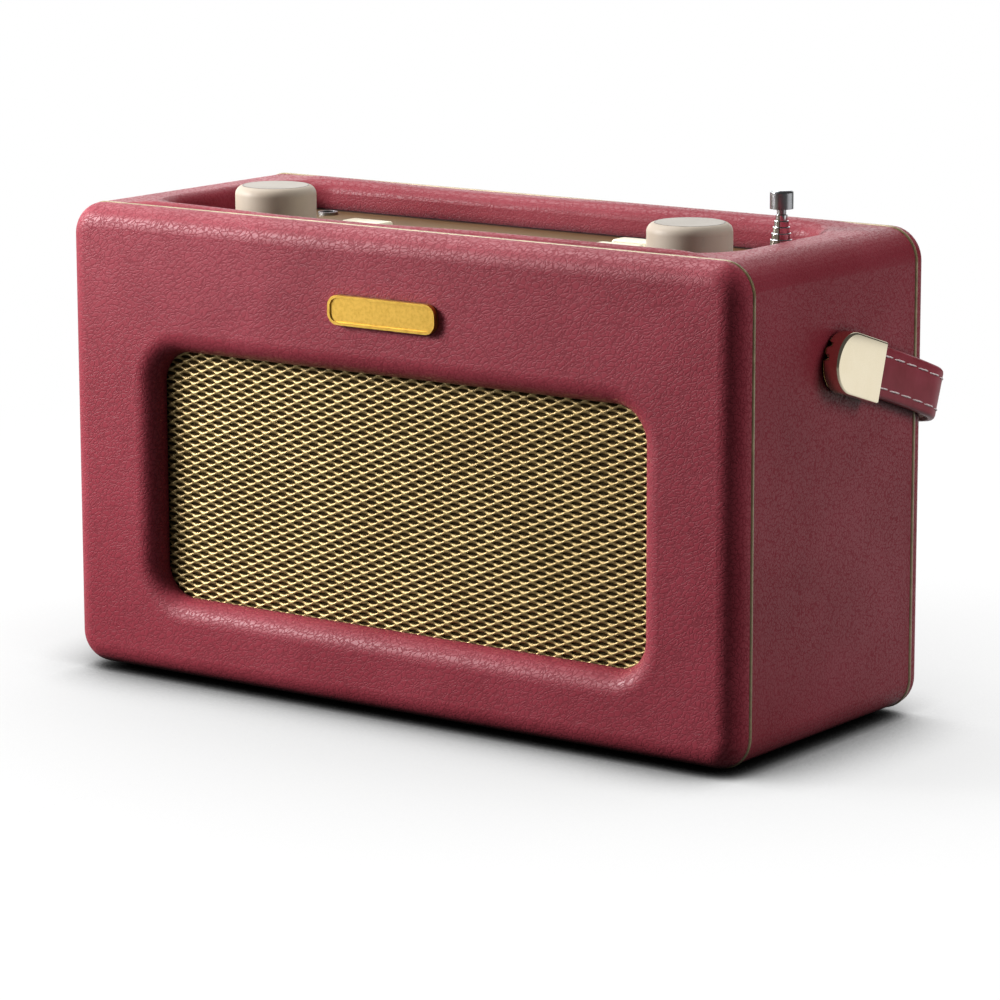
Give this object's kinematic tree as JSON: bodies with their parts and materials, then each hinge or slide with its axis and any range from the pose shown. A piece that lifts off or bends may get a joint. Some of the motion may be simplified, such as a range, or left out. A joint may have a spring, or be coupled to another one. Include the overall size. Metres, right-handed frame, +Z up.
{
  "type": "portable radio",
  "caption": "Leather-covered table radio with a rolled speaker opening, sunken control panel, telescopic aerial and folding carrying strap.",
  "frame": {"origin": "the point on the standing surface under the middle of the overall box, with the strap folded behind the back", "axes": "+X to the right seen from the front, +Y from front to back, +Z up"},
  "size_m": [0.262, 0.1212, 0.1606],
  "materials": {
    "leather": "grained berry-red leather, soft sheen",
    "timber": "bare board",
    "black_board": "board stained black",
    "piping_cord": "pale gold leather cord",
    "brass": "pale satin brass",
    "steel": "zinc-plated steel",
    "chrome": "bright chrome",
    "cone_paper": "black paper pulp",
    "rubber": "matt black rubber",
    "display_glass": "dark tinted window, off",
    "black_plastic": "moulded black",
    "circuit_board": "green laminate",
    "nylon": "natural nylon",
    "cell_wrap": "steel can with a plain film",
    "door_plastic": "moulded to match the leather",
    "knob_plastic": "warm metallic beige, satin",
    "inlay_plastic": "warm metallic beige, satin",
    "cream_plastic": "cream, satin"
  },
  "bodies": {
    "cabinet": {"cabinet_shell": "timber", "cabinet_wrap": "leather", "corner_blocks": "timber", "front_frame": "timber", "front_cover": "leather", "front_piping": "piping_cord", "badge": "brass", "grille": "brass", "speaker_baffle": "black_board", "speaker_frames": "steel", "speaker_cones": "cone_paper", "speaker_magnets": "steel", "speaker_screws": "steel", "back_panel": "timber", "back_cover": "leather", "back_piping": "piping_cord", "back_screws": "steel", "feet": "rubber", "fascia_plate": "brass", "fascia_screws": "steel", "display_lens": "display_glass", "display_module": "black_plastic", "control_board": "circuit_board", "board_spacers": "nylon", "button_switches": "black_plastic", "encoder_bodies": "steel", "encoder_nuts": "chrome", "headphone_socket": "black_plastic", "socket_nut": "chrome", "main_board": "circuit_board", "dc_inlet": "black_plastic", "battery_tray": "black_plastic", "battery_cells": "cell_wrap", "door_pin": "steel", "aerial_clamp": "black_plastic", "aerial_sleeve": "chrome", "handle_pivots": "steel", "pivot_nuts": "steel"},
    "handle": {"handle_strap": "leather", "handle_caps": "brass"},
    "volume_dial": {"volume_knob": "knob_plastic", "volume_inlay": "inlay_plastic", "volume_shaft": "steel"},
    "tuning_press": {"tuning_plunger": "nylon"},
    "tuning_dial": {"tuning_knob": "knob_plastic", "tuning_inlay": "inlay_plastic", "tuning_shaft": "steel"},
    "power_key": {"power_button": "cream_plastic"},
    "mode_key": {"mode_button": "cream_plastic"},
    "menu_key": {"menu_button": "cream_plastic"},
    "preset_key": {"preset_button": "cream_plastic"},
    "back_key": {"back_button": "cream_plastic"},
    "aerial_1": {"aerial_tube_1": "chrome"},
    "aerial_2": {"aerial_tube_2": "chrome"},
    "aerial_3": {"aerial_tube_3": "chrome"},
    "aerial_4": {"aerial_tube_4": "chrome"},
    "aerial_5": {"aerial_tube_5": "chrome"},
    "aerial_6": {"aerial_rod": "chrome"},
    "door": {"battery_door": "door_plastic"}
  },
  "joints": [
    {"name": "handle_fold", "type": "hinge", "parent": "cabinet", "child": "handle", "pos_m": [0, -0.00577, 0.115], "axis": [1, 0, 0], "range_deg": [-3, 150]},
    {"name": "volume_turn", "type": "hinge", "parent": "cabinet", "child": "volume_dial", "pos_m": [-0.078, -0.01277, 0.1403], "axis": [0, 0, 1], "continuous": true},
    {"name": "tuning_push", "type": "slide", "parent": "cabinet", "child": "tuning_press", "axis": [0, 0, -1], "range_m": [0, 0.0005], "stiffness_N_per_m": 800},
    {"name": "tuning_turn", "type": "hinge", "parent": "tuning_press", "child": "tuning_dial", "pos_m": [0.078, -0.01277, 0.1403], "axis": [0, 0, 1], "continuous": true},
    {"name": "power_press", "type": "slide", "parent": "cabinet", "child": "power_key", "axis": [0, 0, -1], "range_m": [0, 0.0008], "stiffness_N_per_m": 600},
    {"name": "mode_press", "type": "slide", "parent": "cabinet", "child": "mode_key", "axis": [0, 0, -1], "range_m": [0, 0.0008], "stiffness_N_per_m": 600},
    {"name": "menu_press", "type": "slide", "parent": "cabinet", "child": "menu_key", "axis": [0, 0, -1], "range_m": [0, 0.0008], "stiffness_N_per_m": 600},
    {"name": "preset_press", "type": "slide", "parent": "cabinet", "child": "preset_key", "axis": [0, 0, -1], "range_m": [0, 0.0008], "stiffness_N_per_m": 600},
    {"name": "back_press", "type": "slide", "parent": "cabinet", "child": "back_key", "axis": [0, 0, -1], "range_m": [0, 0.0008], "stiffness_N_per_m": 600},
    {"name": "aerial_1_slide", "type": "slide", "parent": "cabinet", "child": "aerial_1", "axis": [0, 0, 1], "range_m": [0, 0.095]},
    {"name": "aerial_2_slide", "type": "slide", "parent": "aerial_1", "child": "aerial_2", "axis": [0, 0, 1], "range_m": [0, 0.095]},
    {"name": "aerial_3_slide", "type": "slide", "parent": "aerial_2", "child": "aerial_3", "axis": [0, 0, 1], "range_m": [0, 0.095]},
    {"name": "aerial_4_slide", "type": "slide", "parent": "aerial_3", "child": "aerial_4", "axis": [0, 0, 1], "range_m": [0, 0.095]},
    {"name": "aerial_5_slide", "type": "slide", "parent": "aerial_4", "child": "aerial_5", "axis": [0, 0, 1], "range_m": [0, 0.095]},
    {"name": "aerial_6_slide", "type": "slide", "parent": "aerial_5", "child": "aerial_6", "axis": [0, 0, 1], "range_m": [0, 0.095]},
    {"name": "door_swing", "type": "hinge", "parent": "cabinet", "child": "door", "pos_m": [0, 0.04173, 0.0175], "axis": [-1, 0, 0], "range_deg": [0, 90]}
  ]
}
